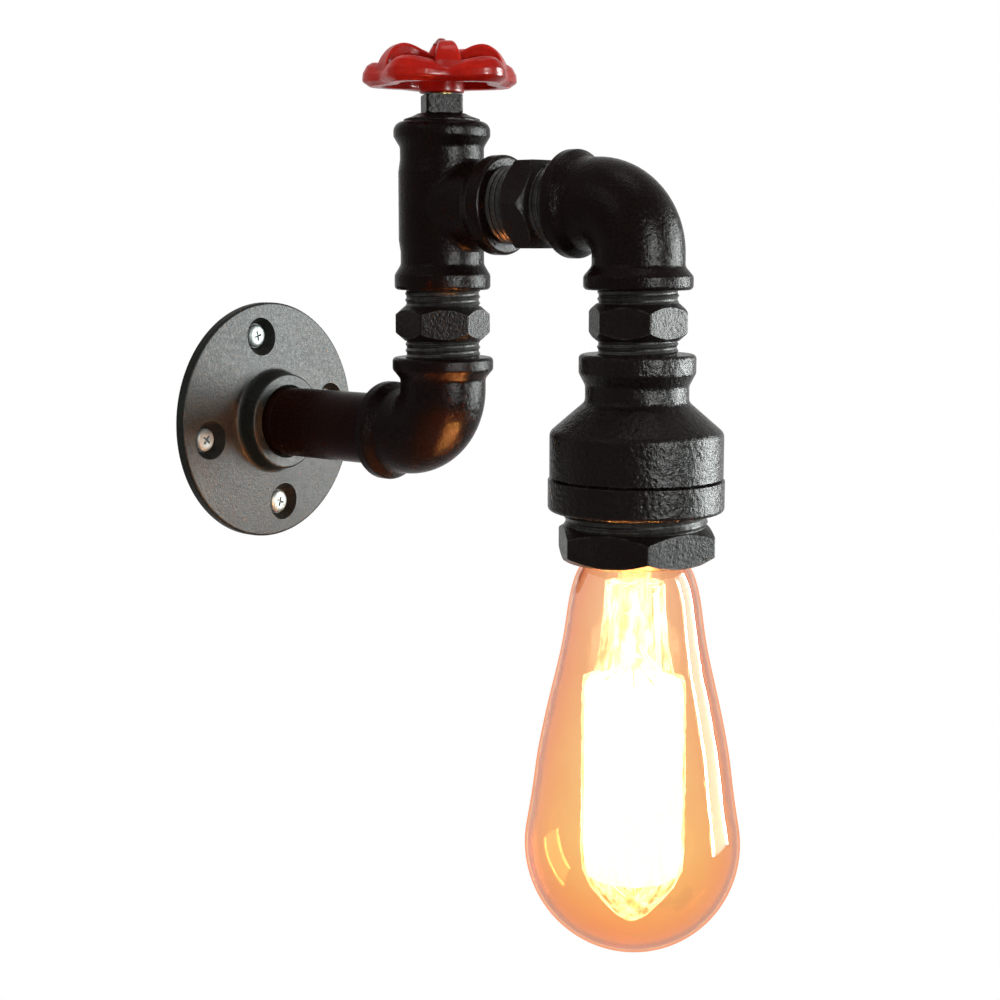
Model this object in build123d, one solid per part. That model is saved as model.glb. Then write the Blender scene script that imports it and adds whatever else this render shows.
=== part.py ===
from build123d import *
from math import cos, radians, sin
import os

os.makedirs("parts", exist_ok=True)

# Industrial pipe wall light: a cast wall flange, an arm of half-inch pipe fittings that rises,
# crosses over and drops, a valve wheel that works the rotary dimmer in the tee, and a filament
# bulb that screws into a porcelain lampholder inside the bell reducer.
#
# Frame, in millimetres: the origin is the centre of the flange's back face. The wall is the
# plane Y = 0, the arm stands out of it along -Y, and +Z is up. The pipework lies in X = 0.

# ------------------------------------------------------------------ pipe, threads and castings
PIPE_R = 10.65  # outside of half-inch pipe
THREAD_R = 10.45  # crests of the half-inch thread
PIPE_BORE_R = 7.9  # bore of every nipple
WATERWAY_R = 9.0  # bore of the elbows and the tee behind their threads
SOCKET_DEPTH = 12.0  # threaded depth of each socket
THREAD_GAP = 0.05  # between a thread and the socket around it
EDGE = 0.5  # broken edge at a thread's end
CAST_ROUND = 0.8  # rounding of the flange's and the boss's outer corners
MOUTH_ROUND = 1.2  # rounding around a socket's mouth
BAND_ROUND = 1.5  # rounding at the back of a socket's band
THROAT_ROUND = 2.0  # hollow where the band's slope meets the body

# ------------------------------------------------------------------ lengths along the arm
WALL_SHOW = 40.7  # bare pipe between the flange and the lower elbow
RISER_SHOW = 19.3  # nipple seen between the lower elbow and the tee
BRANCH_SHOW = 21.0  # nipple seen between the tee and the upper elbow
DROP_SHOW = 16.9  # nipple seen between the upper elbow and the reducer

# ------------------------------------------------------------------ wall flange and its screws
FLANGE_R = 36.9
FLANGE_RIM = 3.2  # thickness at the rim
FLANGE_ROOT = 4.6  # thickness where the face meets the boss
FLANGE_HEIGHT = 10.6  # back face to the boss's mouth
BOSS_ROOT_R = 15.4
BOSS_MOUTH_R = 14.8
SCREW_COUNT = 4
SCREW_CIRCLE_R = 26.95
FIRST_SCREW_DEG = 9.0  # from straight up, towards -X
SCREW_HOLE_R = 3.2
SCREW_SINK_R = 6.1  # mouth of the conical recess around each head
SCREW_SINK_TOP = 4.0  # height where the recess reaches its mouth
SCREW_LEDGE = 0.9  # flange left under a head
SCREW_HEAD_R = 3.5
SCREW_HEAD_HEIGHT = 1.3
SCREW_SHANK_R = 1.9
SCREW_REACH = 25.0  # into the wall, with its point
SCREW_POINT = 4.0
SINK_GAP = 0.3  # between a head and the recess at its ledge
WALL_NIPPLE_SETBACK = 1.5  # from the wall to the nipple's end
WALL_THREAD = 11.5  # threaded length at each end of the wall nipple
WALL_NIPPLE_GRIP = 9.7  # thread inside the lower elbow

# ------------------------------------------------------------------ elbows
ELBOW_REACH = 22.7  # centre to end face
ELBOW_BEND_R = 13.4
ELBOW_BODY_R = 12.4
ELBOW_COLLAR_R = 14.6
ELBOW_BAND = 3.6
ELBOW_SLOPE = 2.6  # from the band back to the body

# ------------------------------------------------------------------ tee
TEE_REACH = 23.7
TEE_BODY_R = 12.0  # at the necks beside the collars
TEE_BELLY_R = 12.5  # the run swells to this between its necks
TEE_BELLY = 13.0  # half the length of that swelling
TEE_BELLY_EASE = 3.5  # each end of it
TEE_COLLAR_R = 13.8
TEE_BAND = 4.2
TEE_SLOPE = 3.0
TEE_CROTCH_R = 2.0  # fillet between the run and the branch
TEE_TOP_ROUND = 2.8  # softer mouth under the domed plug

# ------------------------------------------------------------------ hexagon nipples
NIPPLE_LENGTH = 38.0
NIPPLE_FLATS = 23.8
NIPPLE_HEX = 9.8  # length of the hexagon
NIPPLE_HEX_END_R = 11.0  # the cone turned on the hexagon's corners, at its end faces
NIPPLE_HEX_CUT = 2.4  # height of that cone
CORNER_ROUND = 0.8  # worn upright corners of hexagons and squares
RISER_HEX_DEG = 12.2  # where one corner points
BRANCH_HEX_DEG = 0.0
DROP_HEX_DEG = 47.4

# ------------------------------------------------------------------ bell reducer and hexagon bush
REDUCER_LENGTH = 42.0
REDUCER_COLLAR_R = 15.65
REDUCER_COLLAR = 5.0
REDUCER_SLOPE = 3.4
REDUCER_NECK_R = 13.9
REDUCER_NECK_END = 12.7  # top face to the end of the neck
REDUCER_SHOULDER = 20.9  # top face to the widest part
BELL_R = 23.35
BELL_WALL = 3.5
BELL_BAND_R = 23.75
BELL_BAND = 8.4
BELL_GROOVE = 0.8  # width and depth of the groove over the band
BELL_ROUND = 2.5
BUSH_THREAD_R = 18.9
BUSH_GRIP = 10.0  # thread inside the reducer
BUSH_SHOW = 4.1  # thread seen under the reducer
BUSH_HEX = 9.3
BUSH_FLATS = 39.4
BUSH_BORE_R = 15.7
BUSH_HEX_END_R = 19.3
BUSH_HEX_CUT = 2.2
BUSH_MOUTH = 1.2  # bevel around the bush's mouth
BUSH_HEX_DEG = 41.9
BUSH_ROOM = 1.0  # reducer thread left free above the bush

# ------------------------------------------------------------------ lampholder (medium Edison cap)
WASHER_THICK = 1.5
WASHER_GAP = 0.4  # around the washer in the reducer's socket
ROD_R = 5.0  # ten-millimetre hollow rod
ROD_BORE_R = 3.7
ROD_STANDS_UP = 4.9  # above the washer
LOCKNUT_FLATS = 13.0
LOCKNUT_HEIGHT = 3.0
LOCKNUT_END_R = 6.3
LOCKNUT_CUT = 0.6
COVER_NECK_R = 7.2
COVER_NECK = 3.2
COVER_R = 12.6
COVER_HEIGHT = 9.0  # rim to the top of the neck
COVER_WALL = 1.0
HOLDER_R = 15.1
HOLDER_LENGTH = 28.5  # cover seat to mouth
HOLDER_FLOOR = 3.0
HOLDER_SHOULDER = 3.6  # height of the slope up to the cover's seat
SHELL_WALL = 0.4
SHELL_GAP = 0.3  # between the bulb's cap and the screw shell
SHELL_LENGTH = 19.0
STRIP_THICK = 0.5
STRIP_WIDTH = 5.0
STRIP_REACH = 8.0
STRIP_LIFT = 1.4  # from the floor down to the sprung tongue's contact face
CONTACT_GAP = 0.05  # between the tongue and the bulb's contact
TERMINAL_SIZE = (5.6, 5.0, 3.6)
TERMINAL_OFFSET = 3.9
TERMINAL_SCREW_R = 1.4
TERMINAL_SCREW_LENGTH = 2.2
TERMINAL_HEAD_R = 1.7
TERMINAL_HEAD = 0.9

# ------------------------------------------------------------------ bulb
BULB_LENGTH = 139.2  # contact to tip
BULB_R = 29.7
CAP_R = 13.05
CAP_HEIGHT = 26.5
CAP_SKIRT = 20.5  # height of the screw part
CAP_WALL = 0.3
CAP_CONTACT_R = 4.7
CAP_CONTACT = 1.3
INSULATOR_R = 11.9
GLASS_WALL = 0.9
GLASS_NECK_R = 12.5  # where the glass enters the cap
GLASS_IN_CAP = 3.0
GLASS_SIDE = [(15.2, 32.5), (19.1, 50.0), (22.8, 67.2), (26.3, 84.4)]  # radius, contact to there
GLASS_FLARE_DEG = 10.0  # slope where the long cone runs into the round end
GLASS_GAP = 0.05
STEM_FLARE_R = 11.0
STEM_TUBE_R = 4.6
STEM_PRESS = 53.0  # contact to the flattened press
STEM_ROD_R = 1.3
BUTTON_R = 2.3
CAGE_TOP = 65.0  # contact to the top of the filament
CAGE_BOTTOM = 116.0
CAGE_TOP_R = 10.0
CAGE_BOTTOM_R = 12.2
TOP_BUTTON = 58.0
BUTTON_BELOW = 11.0  # the bottom button, below the filament's lowest turns
HAIRPINS = 8
BOTTOM_BUTTON = CAGE_BOTTOM + BUTTON_BELOW
FILAMENT_R = 0.25
SUPPORT_R = 0.3

# ------------------------------------------------------------------ dimmer, gland and valve wheel
BONNET_R = 10.9
BONNET_TOP_R = 6.9
BONNET_HEIGHT = 2.2  # above the tee
BONNET_GRIP = 10.0
BONNET_BORE_R = 8.5
BONNET_ROOF = 2.6
DIMMER_R = 8.1
DIMMER_HEIGHT = 9.5
DIMMER_THREAD_R = 3.9
DIMMER_THREAD = 7.4  # above the dimmer's case
GLAND_SQUARE = 10.5  # across the flats of the square nut
GLAND_DEG = 5.4  # where one of its corners points
GLAND_HEIGHT = 5.2
GLAND_END_R = 6.4
GLAND_CUT = 0.8
SPINDLE_R = 3.0
SPINDLE_FIT = 0.05
SPINDLE_FOOT = 3.0  # inside the dimmer's case
HUB_GAP = 0.4  # between the gland nut and the turning hub
WHEEL_R = 23.0  # out to a lobe
WHEEL_DIP = 3.9  # the rim stands in by this much between two lobes
WHEEL_LOBES = 5
WHEEL_LOBE_DEG = 46.0  # where one lobe points
RIM_WIDTH = 6.4
RIM_HEIGHT = 5.1  # between two lobes, where a spoke meets it
RIM_RISE = 1.8  # a lobe is taller by this much
RIM_LIFT = 2.0  # hub's foot to the rim's underside
RIM_OUTER_FACE = [  # from the underside up: in from the rim's widest, share of its height, rounding
    (2.2, 0.0, 0.8), (0.0, 0.22, 1.0), (0.2, 0.55, 1.4), (1.4, 0.86, 1.2), (3.0, 1.0, 1.2)]
RIM_FOOT_ROUND = 1.2  # inside edges of the rim
RIM_TOP_ROUND = 1.0
RIM_DRAFT = 0.4  # the inside face leans out of the mould by this much
HUB_R = 6.4
HUB_HEIGHT = 13.0
HUB_SIDE = 5.2  # the straight part of its side
HUB_SHOULDER_R = 4.9
HUB_SHOULDER = 9.1
HUB_TIP_R = 2.7
HUB_CROWN = 4.0  # hub left above the spindle's end
SPOKE_HUMP = [  # along a spoke: distance from the axis, height of its top, width, thickness
    (3.6, 10.6, 5.6, 4.4), (8.0, 12.5, 4.8, 3.8), (12.2, 13.4, 4.8, 4.0), (15.9, 11.6, 6.0, 4.6),
    (18.3, 7.6, 7.4, 4.4)]
SPOKE_ROUND = 1.2
WHEEL_SCREW_R = 1.5
WHEEL_SCREW_HEAD_R = 2.5
WHEEL_SCREW_TIP_R = 0.9
WHEEL_SCREW_HEAD = 2.2
WHEEL_SCREW_LENGTH = 8.0
END_GAP = 0.4  # beyond the end of a shaft or screw in its blind hole

# ------------------------------------------------------------------ inner wires
WIRE_R = 1.1
WIRE_OFFSET = 2.3  # each wire runs this far to one side of the pipe's axis
WIRE_SETBACK = 12.5  # the wall end stops this far inside the wall nipple
WIRE_TEE_BEND = 9.0
SWITCHED_OFFSET = 5.2  # switched wire's tail under the dimmer, in front of the axis

# ------------------------------------------------------------------ places that follow
elbow_y = -(FLANGE_HEIGHT + WALL_SHOW + ELBOW_REACH)
branch_z = ELBOW_REACH + RISER_SHOW + TEE_REACH
drop_y = elbow_y - (TEE_REACH + BRANCH_SHOW + ELBOW_REACH)
tee_top_z = branch_z + TEE_REACH
reducer_top_z = branch_z - ELBOW_REACH - DROP_SHOW
reducer_end_z = reducer_top_z - REDUCER_LENGTH
bush_face_z = reducer_end_z - BUSH_SHOW - BUSH_HEX
drop_nipple_end_z = reducer_top_z - (NIPPLE_LENGTH - DROP_SHOW) / 2
washer_z = drop_nipple_end_z - WASHER_THICK
cover_seat_z = washer_z - COVER_HEIGHT
floor_z = cover_seat_z - HOLDER_FLOOR
bulb_z = floor_z - STRIP_LIFT - CONTACT_GAP
socket_r = THREAD_R + THREAD_GAP
shell_r = CAP_R + SHELL_GAP
gland_z = tee_top_z + BONNET_HEIGHT
hub_z = gland_z + GLAND_HEIGHT + HUB_GAP
dimmer_top_z = gland_z - BONNET_ROOF

RISER = Pos(0, elbow_y, 0)
DROP = Pos(0, drop_y, 0)
OUT_OF_WALL = Rot(90, 0, 0)  # turns a piece that stands on XY to stand out along -Y


# ------------------------------------------------------------------ shared shapes
def turned(*corners):
    """A solid turned about Z, from (radius, height, rounding) corners."""
    points = [(r, z) for r, z, _ in corners]
    outline = FilletPolyline(*points, radius=[c[2] for c in corners], close=True)
    return revolve(Plane.XZ * make_face(outline), Axis.Z)


def rod(radius, low, high):
    """A round bar along Z between two heights."""
    return Pos(0, 0, low) * Cylinder(radius, high - low, align=(Align.CENTER, Align.CENTER, Align.MIN))


def bar(radius, start, end):
    """A round bar between two points in space."""
    along = Vector(*end) - Vector(*start)
    return extrude(Plane(origin=start, z_dir=along) * Circle(radius), along.length)


def prism(sides, flats, height, corner_deg, end_r, cut):
    """A hexagon or square standing on XY with a cone turned on its corners at both ends."""
    corner_r = flats / 2 / cos(radians(180 / sides))
    block = extrude(RegularPolygon(corner_r, sides, rotation=corner_deg), height)
    block = fillet(block.edges().filter_by(Axis.Z), CORNER_ROUND)
    barrel = turned((0, 0, 0), (end_r, 0, 0), (corner_r, cut, cut / 2),
                    (corner_r, height - cut, cut / 2), (end_r, height, 0), (0, height, 0))
    return block & barrel


def socket_leg(start, reach, body_r, collar_r, band, slope, mouth=MOUTH_ROUND):
    """The outside of one banded socket, along +Z from the fitting's centre."""
    return turned((0, start, 0), (body_r, start, 0),
                  (body_r, reach - band - slope, THROAT_ROUND),
                  (collar_r, reach - band, BAND_ROUND), (collar_r, reach, mouth),
                  (0, reach, 0))


def socket_bore(start, reach):
    """The thread and the waterway behind it, along +Z from the fitting's centre."""
    thread = rod(socket_r, reach - SOCKET_DEPTH, reach)
    return rod(WATERWAY_R, start, reach) + thread


def bend(radius):
    """A quarter bend from the +Z leg to the +Y leg of an elbow at the origin."""
    mouth = Plane(origin=(0, 0, ELBOW_BEND_R)) * Circle(radius)
    centre = Axis((0, ELBOW_BEND_R, ELBOW_BEND_R), (1, 0, 0))
    return revolve(mouth, centre, 90)


def elbow():
    """A banded elbow with one leg up and the other towards the wall."""
    leg = socket_leg(ELBOW_BEND_R, ELBOW_REACH, ELBOW_BODY_R, ELBOW_COLLAR_R, ELBOW_BAND, ELBOW_SLOPE)
    bore = socket_bore(ELBOW_BEND_R, ELBOW_REACH)
    to_wall = Rot(-90, 0, 0)
    outside = bend(ELBOW_BODY_R) + leg + to_wall * leg
    return outside - bend(WATERWAY_R) - bore - to_wall * bore


def tee():
    """A banded tee with its run upright and its branch away from the wall."""
    sizes = (0, TEE_REACH, TEE_BODY_R, TEE_COLLAR_R, TEE_BAND, TEE_SLOPE)
    leg = socket_leg(*sizes)
    top_leg = socket_leg(*sizes, mouth=TEE_TOP_ROUND)
    bore = socket_bore(0, TEE_REACH)
    full = TEE_BELLY - TEE_BELLY_EASE
    belly = turned((0, -TEE_BELLY, 0), (TEE_BODY_R, -TEE_BELLY, 0), (TEE_BELLY_R, -full, 3.0),
                   (TEE_BELLY_R, full, 3.0), (TEE_BODY_R, TEE_BELLY, 0), (0, TEE_BELLY, 0))
    outside = belly + top_leg + Rot(180, 0, 0) * leg + OUT_OF_WALL * leg
    crotch = outside.edges().filter_by(GeomType.BSPLINE)
    outside = fillet(crotch, TEE_CROTCH_R)
    return outside - bore - Rot(180, 0, 0) * bore - OUT_OF_WALL * bore


def hex_nipple(corner_deg):
    """A hexagon nipple centred on the origin, along Z."""
    half = NIPPLE_LENGTH / 2
    thread = turned((0, -half, 0), (THREAD_R - EDGE, -half, 0), (THREAD_R, EDGE - half, 0),
                    (THREAD_R, half - EDGE, 0), (THREAD_R - EDGE, half, 0), (0, half, 0))
    grip = prism(6, NIPPLE_FLATS, NIPPLE_HEX, corner_deg, NIPPLE_HEX_END_R, NIPPLE_HEX_CUT)
    return thread + Pos(0, 0, -NIPPLE_HEX / 2) * grip - rod(PIPE_BORE_R, -half, half)


# ------------------------------------------------------------------ at the wall
def wall_flange():
    """The cast flange, its threaded boss and the recessed screw holes, standing on XY."""
    bore_r = socket_r
    body = turned((bore_r, 0, 0), (FLANGE_R, 0, 0.3), (FLANGE_R, FLANGE_RIM, CAST_ROUND),
                  (BOSS_ROOT_R, FLANGE_ROOT, 1.6), (BOSS_MOUTH_R, FLANGE_HEIGHT, CAST_ROUND),
                  (bore_r + 2 * EDGE, FLANGE_HEIGHT, 0), (bore_r, FLANGE_HEIGHT - 2 * EDGE, 0))
    ledge_r = SCREW_HEAD_R + SINK_GAP
    recess = turned((0, -1, 0), (SCREW_HOLE_R, -1, 0), (SCREW_HOLE_R, SCREW_LEDGE, 0),
                    (ledge_r, SCREW_LEDGE, 0), (SCREW_SINK_R, SCREW_SINK_TOP, 0),
                    (SCREW_SINK_R, FLANGE_HEIGHT, 0), (0, FLANGE_HEIGHT, 0))
    recesses = screw_places() * recess
    for one in recesses:
        body = body - one
    return body


def screw_places():
    """The flange's screw positions, seen from the front with +Y upwards."""
    return PolarLocations(SCREW_CIRCLE_R, SCREW_COUNT, start_angle=90 + FIRST_SCREW_DEG)


def wall_screw():
    """A pan-head wood screw whose head sits on its ledge in the flange."""
    tip = SCREW_LEDGE - SCREW_REACH
    top = SCREW_LEDGE + SCREW_HEAD_HEIGHT
    return turned((0, tip, 0), (SCREW_SHANK_R, tip + SCREW_POINT, 0), (SCREW_SHANK_R, SCREW_LEDGE, 0),
                  (SCREW_HEAD_R, SCREW_LEDGE, 0), (SCREW_HEAD_R, top, 0.7), (0, top, 0))


def wall_nipple():
    """The straight nipple between the flange and the lower elbow, standing on XY."""
    low = WALL_NIPPLE_SETBACK
    high = FLANGE_HEIGHT + WALL_SHOW + WALL_NIPPLE_GRIP
    outside = turned((0, low, 0), (THREAD_R, low, 0), (THREAD_R, low + WALL_THREAD, 0),
                     (PIPE_R, low + WALL_THREAD, 0), (PIPE_R, high - WALL_THREAD, 0),
                     (THREAD_R, high - WALL_THREAD, 0), (THREAD_R, high, 0), (0, high, 0))
    return outside - rod(PIPE_BORE_R, low, high)


# ------------------------------------------------------------------ reducer and bush
def bell_reducer():
    """The bell reducer: small socket above, cone, and the banded bell for the bush."""
    top, end = reducer_top_z, reducer_end_z
    band_top = end + BELL_BAND
    outside = turned(
        (0, top, 0), (REDUCER_COLLAR_R, top, MOUTH_ROUND),
        (REDUCER_COLLAR_R, top - REDUCER_COLLAR, BAND_ROUND),
        (REDUCER_NECK_R, top - REDUCER_COLLAR - REDUCER_SLOPE, THROAT_ROUND),
        (REDUCER_NECK_R, top - REDUCER_NECK_END, THROAT_ROUND),
        (BELL_R, top - REDUCER_SHOULDER, BELL_ROUND),
        (BELL_R, band_top + BELL_GROOVE, 0), (BELL_R - BELL_GROOVE, band_top + BELL_GROOVE / 2, 0),
        (BELL_BAND_R, band_top, 0.3), (BELL_BAND_R, end, MOUTH_ROUND),
        (0, end, 0))
    thread_r = BUSH_THREAD_R + THREAD_GAP
    thread_top = end + BUSH_GRIP + BUSH_ROOM
    bell_inner_r = BELL_R - BELL_WALL
    throat_r = PIPE_BORE_R
    cone_top = top - REDUCER_NECK_END - BELL_WALL / 2
    cone_low = top - REDUCER_SHOULDER - BELL_WALL / 2
    inside = turned(
        (0, top, 0), (socket_r, top, 0), (socket_r, washer_z, 0), (throat_r, washer_z, 0),
        (throat_r, cone_top, 0), (bell_inner_r, cone_low, 1.5), (bell_inner_r, thread_top, 0),
        (thread_r, thread_top, 0), (thread_r, end, 0), (0, end, 0))
    return outside - inside


def hex_bush():
    """The hexagon bush that closes the bell and carries the bulb's mouth."""
    low = bush_face_z
    shoulder = low + BUSH_HEX
    thread_top = reducer_end_z + BUSH_GRIP
    grip = prism(6, BUSH_FLATS, BUSH_HEX, BUSH_HEX_DEG, BUSH_HEX_END_R, BUSH_HEX_CUT)
    thread = rod(BUSH_THREAD_R, shoulder, thread_top)
    bore = turned((0, low, 0), (BUSH_BORE_R + BUSH_MOUTH, low, 0), (BUSH_BORE_R, low + BUSH_MOUTH, 0),
                  (BUSH_BORE_R, thread_top, 0), (0, thread_top, 0))
    return Pos(0, 0, low) * grip + thread - bore


# ------------------------------------------------------------------ lampholder
def holder_washer():
    """The washer held between the reducer's ledge and the end of the drop nipple."""
    ring = rod(socket_r - WASHER_GAP, washer_z, washer_z + WASHER_THICK)
    return ring - rod(ROD_R + THREAD_GAP, washer_z, washer_z + WASHER_THICK)


def holder_rod():
    """The hollow threaded rod that carries the lampholder and passes its wires."""
    low = washer_z - COVER_NECK
    high = washer_z + WASHER_THICK + ROD_STANDS_UP
    return rod(ROD_R, low, high) - rod(ROD_BORE_R, low, high)


def holder_locknut():
    """The locknut that pulls the rod up against the washer."""
    low = washer_z + WASHER_THICK
    nut = prism(6, LOCKNUT_FLATS, LOCKNUT_HEIGHT, 0, LOCKNUT_END_R, LOCKNUT_CUT)
    return Pos(0, 0, low) * nut - rod(ROD_R + THREAD_GAP, low, low + LOCKNUT_HEIGHT)


def holder_cover():
    """The pressed cover over the terminals, with the threaded neck for the rod."""
    neck_z = washer_z - COVER_NECK
    outside = turned((0, cover_seat_z, 0), (COVER_R, cover_seat_z, 0),
                     (COVER_R - 0.4, cover_seat_z + 1.6, 0.6), (COVER_NECK_R, neck_z, 0.6),
                     (COVER_NECK_R, washer_z, 0), (0, washer_z, 0))
    inside = turned((0, cover_seat_z, 0), (COVER_R - COVER_WALL, cover_seat_z, 0),
                    (COVER_R - COVER_WALL - 0.4, cover_seat_z + 1.2, 0.4),
                    (COVER_NECK_R - COVER_WALL, neck_z - COVER_WALL, 0), (0, neck_z - COVER_WALL, 0))
    return outside - inside - rod(ROD_R + THREAD_GAP, cover_seat_z, washer_z)


def holder_body():
    """The porcelain body: a floor for the contacts and a tube around the screw shell."""
    mouth = cover_seat_z - HOLDER_LENGTH
    outside = turned((0, cover_seat_z, 0), (COVER_R, cover_seat_z, 0),
                     (HOLDER_R, cover_seat_z - HOLDER_SHOULDER, 0.8), (HOLDER_R, mouth, 0.4),
                     (0, mouth, 0))
    cavity = rod(shell_r + SHELL_WALL + THREAD_GAP, mouth, floor_z)
    return outside - cavity


def screw_shell():
    """The brass shell that the bulb's cap screws into."""
    high = floor_z - STRIP_LIFT - CAP_CONTACT
    low = high - SHELL_LENGTH
    return rod(shell_r + SHELL_WALL, low, high) - rod(shell_r, low, high)


def contact_strip():
    """The sprung tongue under the porcelain floor that meets the bulb's contact."""
    root = Box(STRIP_THICK * 2, STRIP_WIDTH, STRIP_LIFT, align=(Align.MAX, Align.CENTER, Align.MAX))
    tongue = Box(STRIP_REACH + STRIP_WIDTH / 2, STRIP_WIDTH, STRIP_THICK,
                 align=(Align.MAX, Align.CENTER, Align.MIN))
    return (Pos(STRIP_REACH, 0, floor_z) * root
            + Pos(STRIP_REACH, 0, floor_z - STRIP_LIFT) * tongue)


def shell_strip():
    """The strip that joins the screw shell to the neutral terminal."""
    high = floor_z - STRIP_LIFT - CAP_CONTACT
    foot = Box(STRIP_THICK, STRIP_WIDTH, floor_z - high, align=(Align.MAX, Align.CENTER, Align.MIN))
    return Pos(-shell_r + STRIP_THICK * 2, 0, high) * foot


def terminals():
    """The two brass terminal blocks on the porcelain floor, under the cover."""
    block = Box(*TERMINAL_SIZE, align=(Align.CENTER, Align.CENTER, Align.MIN))
    drilled = block - Pos(0, 0, TERMINAL_SIZE[2] / 2) * Rot(90, 0, 0) * Cylinder(
        TERMINAL_SCREW_R + THREAD_GAP, 2 * TERMINAL_SIZE[1])
    return [Pos(side * TERMINAL_OFFSET, 0, cover_seat_z) * drilled for side in (-1, 1)]


def terminal_screws():
    """One clamping screw in the front of each terminal block."""
    front = -TERMINAL_SIZE[1] / 2
    tip = -TERMINAL_SCREW_LENGTH
    screw = turned((0, tip, 0), (TERMINAL_SCREW_R, tip, 0), (TERMINAL_SCREW_R, 0, 0),
                   (TERMINAL_HEAD_R, 0, 0), (TERMINAL_HEAD_R, TERMINAL_HEAD, 0.3),
                   (0, TERMINAL_HEAD, 0))
    height = cover_seat_z + TERMINAL_SIZE[2] / 2
    return [Pos(side * TERMINAL_OFFSET, front, height) * OUT_OF_WALL * screw for side in (-1, 1)]


# ------------------------------------------------------------------ bulb, with its contact at Z = 0
def glass_outline(inset):
    """The bulb's outline from its neck to its tip, moved inwards by inset."""
    neck_z = -CAP_HEIGHT + GLASS_IN_CAP
    tip_z = -BULB_LENGTH
    ball_z = tip_z + BULB_R
    flare = radians(GLASS_FLARE_DEG)
    join = (BULB_R * cos(flare) - inset * cos(flare), ball_z + (BULB_R - inset) * sin(flare))
    low = radians(-40)
    on_ball = ((BULB_R - inset) * cos(low), ball_z + (BULB_R - inset) * sin(low))
    neck = (GLASS_NECK_R - inset, neck_z)
    shoulder = (GLASS_NECK_R - inset, -CAP_HEIGHT)
    straight = Line(neck, shoulder)
    side = [(radius - inset, -drop) for radius, drop in GLASS_SIDE]
    cone = Spline(shoulder, *side, join, tangents=((0.2, -1), (sin(flare), -cos(flare))))
    end = ThreePointArc(join, on_ball, (0, tip_z + inset))
    return straight, cone, end


def glass_solid(inset):
    """The bulb's shape filled in, moved inwards by inset."""
    straight, cone, end = glass_outline(inset)
    roof = Line(end @ 1, (0, -CAP_HEIGHT + GLASS_IN_CAP))
    lid = Line((0, -CAP_HEIGHT + GLASS_IN_CAP), straight @ 0)
    return revolve(Plane.XZ * make_face([straight, cone, end, roof, lid]), Axis.Z)


def bulb_glass():
    """The blown envelope, open where it enters the cap."""
    return glass_solid(0) - glass_solid(GLASS_WALL)


def bulb_cap():
    """The screw cap around the neck."""
    low = -CAP_HEIGHT
    high = low + CAP_SKIRT
    inner = CAP_R - CAP_WALL
    outside = turned((0, low, 0), (CAP_R, low, 0), (CAP_R, high, 0.6),
                     (INSULATOR_R, high, 0), (0, high, 0))
    return outside - rod(inner, low, high - CAP_WALL) - rod(INSULATOR_R - 0.6, low, high)


def bulb_insulator():
    """The black glass cone between the cap and the contact."""
    low = -CAP_HEIGHT + CAP_SKIRT
    return turned((0, low, 0), (INSULATOR_R, low, 0), (INSULATOR_R - 0.6, low + 1.4, 0.4),
                  (CAP_CONTACT_R, -CAP_CONTACT, 0), (0, -CAP_CONTACT, 0))


def bulb_contact():
    """The contact button at the end of the cap."""
    return turned((0, -CAP_CONTACT, 0), (CAP_CONTACT_R, -CAP_CONTACT, 0), (CAP_CONTACT_R, -0.5, 0),
                  (CAP_CONTACT_R - 1.6, 0, 0), (0, 0, 0))


def bulb_stem():
    """The glass mount: flare, tube, press and the long rod with its two buttons."""
    rim_z = -CAP_HEIGHT + 1.0
    press_z = -STEM_PRESS
    flare = turned((0, rim_z, 0), (STEM_FLARE_R, rim_z, 0), (STEM_FLARE_R - 0.4, rim_z - 1.2, 0.5),
                   (STEM_TUBE_R, rim_z - 6.0, 3.0), (STEM_TUBE_R, press_z + 6, 1.0),
                   (STEM_TUBE_R * 0.55, press_z, 0.5), (0, press_z, 0))
    hollow = turned((0, rim_z, 0), (STEM_FLARE_R - 1.2, rim_z, 0), (STEM_TUBE_R - 1, rim_z - 6.4, 2.0),
                    (STEM_TUBE_R - 1, press_z + 8, 0), (0, press_z + 8, 0))
    stem = flare - hollow + rod(STEM_ROD_R, -BOTTOM_BUTTON, press_z)
    for height in (TOP_BUTTON, BOTTOM_BUTTON):
        stem = stem + Pos(0, 0, -height) * Sphere(BUTTON_R)
    return stem


def cage_points():
    """Where the filament turns: pairs of top and bottom points around the rod."""
    step = 360 / (2 * HAIRPINS)
    places = [radians(step * i) for i in range(2 * HAIRPINS)]
    top = [(CAGE_TOP_R * cos(a), CAGE_TOP_R * sin(a), -CAGE_TOP) for a in places]
    bottom = [(CAGE_BOTTOM_R * cos(a), CAGE_BOTTOM_R * sin(a), -CAGE_BOTTOM) for a in places]
    return top, bottom


def bulb_filament():
    """The squirrel-cage filament: upright strands joined in turn at the bottom and the top."""
    top, bottom = cage_points()
    strands = [bar(FILAMENT_R, t, b) for t, b in zip(top, bottom)]
    last = 2 * HAIRPINS - 1
    low_turns = [bar(FILAMENT_R, bottom[i], bottom[i + 1]) for i in range(0, last, 2)]
    high_turns = [bar(FILAMENT_R, top[i], top[i + 1]) for i in range(1, last, 2)]
    knees = [Pos(*p) * Sphere(FILAMENT_R) for p in top + bottom]
    return strands[0].fuse(*strands[1:], *low_turns, *high_turns, *knees)


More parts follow.
